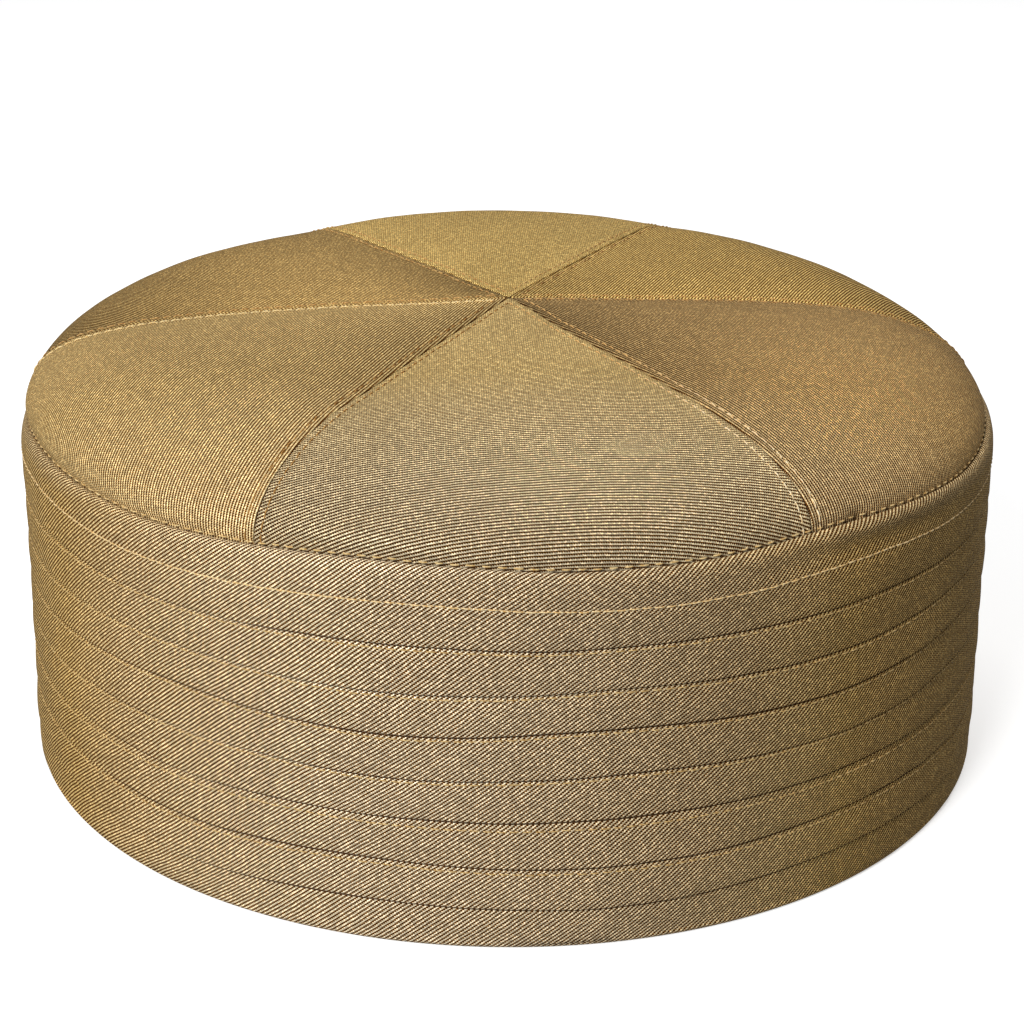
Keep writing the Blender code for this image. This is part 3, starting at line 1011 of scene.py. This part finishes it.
def bandTones(tree, size, azimuth, height):
    # how much paler the cloth is, towards the front and on its lip as painted sheen, and its drifting
    # painted satin sheen and shade
    turn = addNode(tree, maths, [azimuth, addNode(tree, maths, [size["Faded at"]], "RADIANS")], "SUBTRACT")
    # paler towards the front, and on the lip with painted sheen
    fade = addNode(tree, maths, [turn], "COSINE")
    paleEnd = addNode(tree, maths, [size["Faded reach"]], "RADIANS")
    paleEnd = addNode(tree, maths, [paleEnd], "COSINE")
    fade = addNode(tree, ramp, [fade, paleEnd, 1.0, 0.0, 1.0])
    low, high = inMetres(tree, size["Lip from"]), inMetres(tree, size["Scallop to"])
    lipSheen = addNode(tree, ramp, [height, low, high, 0.0, size["Faded lip"]])
    fade = addNode(tree, maths, [fade, lipSheen], "MAXIMUM")
    turn = addNode(tree, maths, [azimuth, addNode(tree, maths, [size["Shine at"]], "RADIANS")], "SUBTRACT")
    turn = addNode(tree, maths, [turn, size["Shine waves"]], "MULTIPLY")
    shine = addNode(tree, maths, [turn], "COSINE")
    return fade, addNode(tree, maths, [shine, size["Shine swing"]], "MULTIPLY")


def bandTree(waverGroup):
    tree, size = newTree("sideBandShape", {**bandRule, "Rows": 2, "Cloth": bpy.types.Material})
    columns = addNode(tree, maths, [size["Segments"], 1.0], "ADD")
    grid = addNode(tree, "GeometryNodeMeshGrid", {
        "Size X": 1.0, "Size Y": 1.0, "Vertices X": size["Rows"], "Vertices Y": columns,
    })
    share = addNode(tree, "ShaderNodeSeparateXYZ", [grid.outputs["UV Map"]]).outputs["Y"]

    # each row of the grid takes its section and values from one point of the profile
    row = addNode(tree, maths, [addNode(tree, "GeometryNodeInputIndex"), columns], "DIVIDE")
    row = addNode(tree, maths, [row], "FLOOR")
    section = addNode(tree, "GeometryNodeSampleIndex", {
        "Geometry": size["Geometry"], "Value": addNode(tree, "GeometryNodeInputPosition"), "Index": row,
    }, data_type="FLOAT_VECTOR")
    section = addNode(tree, "ShaderNodeSeparateXYZ", [section])
    height = section.outputs["Z"]
    sampled = {}
    for name in ("along", "slack", "crease"):
        attribute = addNode(tree, "GeometryNodeInputNamedAttribute", [name], data_type="FLOAT")
        number = addNode(tree, "GeometryNodeSampleIndex", {
            "Geometry": size["Geometry"], "Value": attribute, "Index": row,
        }, data_type="FLOAT")
        sampled[name] = addNode(tree, "GeometryNodeFieldOnDomain", [
            number,
        ], data_type="FLOAT", domain="POINT")

    azimuth = addNode(tree, maths, [share, 2 * math.pi], "MULTIPLY")
    around = towards(tree, azimuth)
    spread = addNode(tree, vectors, {"Vector": around, "Scale": band["girthRadius"]}, "SCALE")
    push = bandPush(tree, size, azimuth, spread, height, sampled["slack"])
    radius = addNode(tree, maths, [push, mm, section.outputs["X"]], "MULTIPLY_ADD")
    place = addNode(tree, vectors, {"Vector": around, "Scale": radius}, "SCALE")
    place = addNode(tree, vectors, [place, upwards(tree, height)], "ADD")
    lift = inMetres(tree, addNode(tree, "GeometryNodeGroup", [place], node_tree=waverGroup))
    place = addNode(tree, vectors, [place, upwards(tree, lift)], "ADD")
    turned = addNode(tree, "GeometryNodeSetPosition", {"Geometry": grid, "Position": place})

    # flat place on the strip: whole repeats round, true length up and down
    girth = addNode(tree, maths, [size["Girth repeats"], 3 * twill["yarnPitch"]], "MULTIPLY")
    cut = addNode(tree, "ShaderNodeCombineXYZ", {
        "X": addNode(tree, maths, [girth, share], "MULTIPLY"),
        "Y": addNode(tree, maths, [sampled["along"], -1.0], "MULTIPLY"),
    })
    faded, shine = bandTones(tree, size, azimuth, height)
    stored = storeValues(tree, turned, (
        ("clothMillimetres", cut, "CORNER", "FLOAT2"),
        ("crease", sampled["crease"], "POINT", "FLOAT"),
        ("faded", faded, "POINT", "FLOAT"),
        ("shine", shine, "POINT", "FLOAT"),
    ))
    closed = addNode(tree, "GeometryNodeMergeByDistance", {"Geometry": stored, "Distance": 0.002 * mm})
    finishTree(tree, closed, size["Cloth"])
    return tree


def makeBand(waverGroup, cloth):
    rows = bandProfile()
    points = [(row[0] * mm, 0.0, row[1] * mm) for row in rows]
    edges = [(i, i + 1) for i in range(len(rows) - 1)]
    piece = newThing("tucked_side_band", points, edges, collection=cloth)
    along = [0.0]
    for one, other in zip(points, points[1:]):
        along.append(along[-1] + math.dist(one, other) / mm)
    values = {"along": along, "slack": [row[2] for row in rows], "crease": [row[3] for row in rows]}
    for name, numbers in values.items():
        piece.data.attributes.new(name, "FLOAT", "POINT").data.foreach_set("value", numbers)
    mesh = makePlain(piece, bandTree(waverGroup), {
        **bandRule, "Rows": len(rows), "Cloth": goldTwill("goldTwillBand", band["tone"]),
    })
    mesh.shade_smooth()
    mesh.set_sharp_from_angle(angle=math.radians(70))
    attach(piece, "root")
    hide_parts("side_band")
    print("side band:", len(rows), "rows in its section")


# Stitches

stitchSizes = {  # in metres
    "Pitch": 2.1 * mm,
    "Length": 1.7 * mm,
    "Thread radius": 0.11 * mm,
    "Rise": 0.12 * mm,
    "Dip": 0.14 * mm,
    "Wander": 0.06 * mm,
    "Waver": 1.0,  # share of the hand-sewn unevenness that a row follows
    "Seed": 1,
}
tuckStitchDrops = (0.7, 0.7, 0.8, 0.6, 1.5, 1.1)  # below the upper six folds: the lowest has no stitches
crownStitches = {
    "from": 3.5,  # first stitch's distance from the middle
    "guideHeight": 107.0,
    "bendAt": 55.0,  # from here on the guide turns over the edge
    "bendHeight": 62.0,
    "bendRadius": 45.0,
    "lastTurn": 82,
    "rayLength": 0.1,  # in metres
    "hitFlat": 18.0,  # from the bend's middle to the cloth, straight up and straight out
    "hitEdge": 34.0,
}


def stitchTree(waverGroup):
    tree, size = newTree("stitchRow", {
        **stitchSizes, "Cloth": bpy.types.Collection, "Thread": bpy.types.Material,
    })
    guide = addNode(tree, "GeometryNodeMeshToCurve", [size["Geometry"]])
    position = addNode(tree, "GeometryNodeInputPosition")
    lift = addNode(tree, "GeometryNodeGroup", [position], node_tree=waverGroup)
    lift = addNode(tree, maths, [lift, size["Waver"]], "MULTIPLY")
    lift = upwards(tree, inMetres(tree, lift))
    guide = addNode(tree, "GeometryNodeSetPosition", {"Geometry": guide, "Offset": lift})

    # the row is thrown onto the cloth along each point's aim
    sheets = addNode(tree, "GeometryNodeCollectionInfo", {"Collection": size["Cloth"]})
    sheets = addNode(tree, "GeometryNodeRealizeInstances", [sheets])
    aim = addNode(tree, "GeometryNodeInputNamedAttribute", ["aim"], data_type="FLOAT_VECTOR")
    hit = addNode(tree, "GeometryNodeRaycast", {
        "Target Geometry": sheets, "Source Position": position,
        "Ray Direction": aim, "Ray Length": crownStitches["rayLength"],
    })
    laid = addNode(tree, "GeometryNodeSetPosition", {
        "Geometry": guide, "Selection": hit.outputs["Is Hit"], "Position": hit.outputs["Hit Position"],
    })
    spaced = addNode(tree, "GeometryNodeResampleCurve", {
        "Curve": laid, "Length": size["Pitch"],
    }, mode="LENGTH")

    # one stitch: a short arch of thread whose ends go down into the cloth
    half = addNode(tree, maths, [size["Length"], 0.5], "MULTIPLY")
    minusHalf = addNode(tree, maths, [size["Length"], -0.5], "MULTIPLY")
    down = addNode(tree, maths, [size["Dip"], -1.0], "MULTIPLY")
    top = addNode(tree, maths, [size["Rise"], 2.0, size["Dip"]], "MULTIPLY_ADD")
    arch = addNode(tree, "GeometryNodeCurveQuadraticBezier", {
        "Resolution": 6,
        "Start": addNode(tree, "ShaderNodeCombineXYZ", {"X": minusHalf, "Z": down}),
        "Middle": upwards(tree, top),
        "End": addNode(tree, "ShaderNodeCombineXYZ", {"X": half, "Z": down}),
    })
    ring = addNode(tree, "GeometryNodeCurvePrimitiveCircle", {
        "Resolution": 5, "Radius": size["Thread radius"],
    })
    stitch = addNode(tree, "GeometryNodeCurveToMesh", {
        "Curve": arch, "Profile Curve": ring, "Fill Caps": True,
    })

    # the stitches follow the row over the cloth, each a little off its line and a little longer or shorter
    normal = addNode(tree, "GeometryNodeSampleNearestSurface", {
        "Mesh": sheets, "Value": addNode(tree, "GeometryNodeInputNormal"), "Sample Position": position,
    }, data_type="FLOAT_VECTOR")
    tangent = addNode(tree, "GeometryNodeInputTangent")
    stray = addNode(tree, "FunctionNodeRandomValue", {
        "Min": -1.0, "Max": 1.0, "Seed": size["Seed"],
    }, data_type="FLOAT")
    stray = addNode(tree, maths, [stray, size["Wander"]], "MULTIPLY")
    sideways = addNode(tree, vectors, [normal, tangent], "CROSS_PRODUCT")
    sideways = addNode(tree, vectors, {"Vector": sideways, "Scale": stray}, "SCALE")
    turn = addNode(tree, "FunctionNodeAxesToRotation", [
        normal, tangent,
    ], primary_axis="Z", secondary_axis="X")
    longer = addNode(tree, "FunctionNodeRandomValue", {
        "Min": 0.9, "Max": 1.1, "Seed": addNode(tree, maths, [size["Seed"], 7.0], "ADD"),
    }, data_type="FLOAT")
    row = addNode(tree, "GeometryNodeInstanceOnPoints", {
        "Points": addNode(tree, "GeometryNodeSetPosition", {"Geometry": spaced, "Offset": sideways}),
        "Instance": stitch,
        "Rotation": turn,
        "Scale": addNode(tree, "ShaderNodeCombineXYZ", {"X": longer, "Y": 1.0, "Z": 1.0}),
    })
    finishTree(tree, row, size["Thread"])
    return tree


def seamGuides(*lines):
    # guides beside the seams, above the crown, and the way that each point is thrown onto it
    points, aims, edges = [], [], []
    look = crownStitches
    for seam, sideways in lines:
        angle = math.radians(seams[seam])
        outward = Vector((math.cos(angle), math.sin(angle), 0))
        beside = Vector((-math.sin(angle), math.cos(angle), 0))
        first = len(points)
        distance = look["from"]
        while distance < look["bendAt"]:
            shift = beside * (sideways + swayAt(seam, distance))
            points.append(outward * distance + shift + Vector((0, 0, look["guideHeight"])))
            aims.append(Vector((0, 0, -1)))
            distance += 1.0
        for turn in range(0, look["lastTurn"] + 1):
            a = math.radians(turn)
            hit = look["hitFlat"] + (look["hitEdge"] - look["hitFlat"]) * math.sin(a) ** 3
            shift = beside * (sideways + swayAt(seam, look["bendAt"] + hit * math.sin(a)))
            centre = outward * look["bendAt"] + shift + Vector((0, 0, look["bendHeight"]))
            direction = outward * math.sin(a) + Vector((0, 0, math.cos(a)))
            points.append(centre + direction * look["bendRadius"])
            aims.append(-direction)
        edges += [(i, i + 1) for i in range(first, len(points) - 1)]
    return [p * mm for p in points], aims, edges


def ringGuides(*heights, radius=105.0, steps=720):
    points, aims, edges = [], [], []
    for height in heights:
        first = len(points)
        for step in range(steps):
            angle = 2 * math.pi * step / steps + ringStart
            outward = Vector((math.cos(angle), math.sin(angle), 0))
            points.append((outward * radius + Vector((0, 0, height))) * mm)
            aims.append(-outward)
            edges.append((first + step, first + (step + 1) % steps))
    return points, aims, edges


def makeStitches(name, tree, guide, material, cloth, sizes):
    points, aims, edges = guide
    row = newThing(name, points, edges)
    row.data.attributes.new("aim", "FLOAT_VECTOR", "POINT").data.foreach_set(
        "vector", [number for aim in aims for number in aim]
    )
    mesh = makePlain(row, tree, {**stitchSizes, **sizes, "Cloth": cloth, "Thread": material})
    mesh.shade_smooth()
    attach(row, "root")
    print(name + ":", len(mesh.polygons), "faces")


def makeAllStitches(waverGroup, cloth):
    tree = stitchTree(waverGroup)
    crownGirth = 2 * math.pi * (crownRule["Rim radius"] + crownRule["Rim scallop"] * 2 / math.pi) * mm
    backRows = [(seam, side) for seam in ("right", "back right", "back left") for side in (-1.3, 1.3)]
    tuckRows = [tuck[0] - drop for tuck, drop in zip(tucks, tuckStitchDrops)]
    rows = (  # piece, thread, guides and the sizes that differ from stitchSizes
        ("seam_stitches_orange", "orangeTan", seamGuides(("front left", -1.5), ("front left", 1.5)), {
            "Waver": 0.0, "Thread radius": 0.13 * mm, "Seed": 11,
        }),
        ("seam_stitches_tan", "tan", seamGuides(*backRows, ("left", -1.7)), {"Waver": 0.0, "Seed": 16}),
        ("seam_stitches_cream", "cream", seamGuides(("front right", -1.7), ("front right", 1.7)), {
            "Waver": 0.0, "Seed": 12,
        }),
        ("seam_stitches_pale", "paleGold", seamGuides(("left", 1.7)), {
            "Waver": 0.0, "Length": 1.95 * mm, "Thread radius": 0.13 * mm, "Seed": 17,
        }),
        ("crown_edge_stitches", "lightTan", ringGuides(edgeStitch["height"]), {
            "Pitch": crownGirth / (edgeStitch["count"] + 0.5),
            "Length": edgeStitch["length"] * mm,
            "Thread radius": edgeStitch["radius"] * mm,
            "Seed": 13,
        }),
        ("shoulder_stitches", "lightGold", ringGuides(band["firstRow"][1]), {
            "Pitch": 2.0 * mm, "Length": 1.9 * mm, "Thread radius": 0.14 * mm, "Seed": 14,
        }),
        ("tuck_stitches", "gold", ringGuides(*tuckRows), {
            "Thread radius": 0.12 * mm, "Rise": 0.1 * mm, "Seed": 15,
        }),
    )
    for name, look, guide, sizes in rows:
        makeStitches(name, tree, guide, sewingThread(look), cloth, sizes)


# Studio

studio = {  # in metres
    "floorColour": "#f7f7f7",
    "floorReach": 4.0,
    "floorRoughness": 0.9,
    "floorGlow": 0.5,  # keeps the paper white far from the lights too
    "world": 0.19,
    "lights": (  # name, place, size and watts
        ("window", (-0.63, -1.02, 0.68), 0.65, 17.3),
        ("ceiling", (0.15, 0.42, 1.45), 1.3, 9.3),
    ),
    "lightsAim": (0.0, 0.0, 0.04),
}
camera = {
    "target": (1.01, 0.0, 39.79),
    "distance": 408.6,
    "pitch": 21.65,  # degrees below the horizon
    "roll": 0.5,
    "lens": 73.1,
    "sensor": 36.0,
}
white = (1.0, 1.0, 1.0, 1.0)


def makeFloor():
    # Seamless white studio paper: matt, and even all over.
    reach = studio["floorReach"]
    corners = [(-reach, -reach, 0.0), (reach, -reach, 0.0), (reach, reach, 0.0), (-reach, reach, 0.0)]
    floor = newThing("pale_floor", corners, faces=[(0, 1, 2, 3)])
    paper = bpy.data.materials.new("paleStudioPaper")
    paper.use_nodes = True
    shader = paper.node_tree.nodes["Principled BSDF"]
    shader.inputs["Base Color"].default_value = linear(studio["floorColour"])
    shader.inputs["Roughness"].default_value = studio["floorRoughness"]
    shader.inputs["Emission Color"].default_value = white
    shader.inputs["Emission Strength"].default_value = studio["floorGlow"]
    floor.data.materials.append(paper)
    floor.visible_diffuse = False  # the paper throws no light up onto the cap's shaded side
    floor.visible_glossy = False


def makeLights():
    world = bpy.data.worlds.new("paleRoom")
    world.use_nodes = True
    background = world.node_tree.nodes["Background"]
    background.inputs["Color"].default_value = white
    background.inputs["Strength"].default_value = studio["world"]
    bpy.context.scene.world = world
    for name, place, breadth, watts in studio["lights"]:
        light = bpy.data.lights.new(name, "AREA")
        light.shape = "DISK"
        light.size = breadth
        light.energy = watts
        lamp = bpy.data.objects.new(name, light)
        lamp.location = place
        aim = Vector(studio["lightsAim"]) - Vector(place)
        lamp.rotation_euler = aim.to_track_quat("-Z", "Y").to_euler()
        bpy.context.scene.collection.objects.link(lamp)


def makeCamera():
    lens = bpy.data.cameras.new("photoCamera")
    lens.lens = camera["lens"]
    lens.sensor_width = camera["sensor"]
    eye = bpy.data.objects.new("photoCamera", lens)
    pitch = math.radians(camera["pitch"])
    back = Vector((0, -math.cos(pitch), math.sin(pitch)))
    eye.location = (Vector(camera["target"]) + back * camera["distance"]) * mm
    tilt = Matrix.Rotation(math.radians(90 - camera["pitch"]), 4, "X")
    eye.rotation_euler = (tilt @ Matrix.Rotation(math.radians(camera["roll"]), 4, "Z")).to_euler()
    bpy.context.scene.collection.objects.link(eye)
    bpy.context.scene.camera = eye
    bpy.context.scene.view_settings.view_transform = "Standard"


def makeStudio():
    makeFloor()
    makeLights()
    makeCamera()
    print("studio ready")


def makeCap():
    cloth = bpy.data.collections.new("capCloth")
    bpy.context.scene.collection.children.link(cloth)
    waverGroup = waverTree()
    makeCrown(waverGroup, cloth)
    makeBand(waverGroup, cloth)
    makeAllStitches(waverGroup, cloth)


makeCap()
makeStudio()
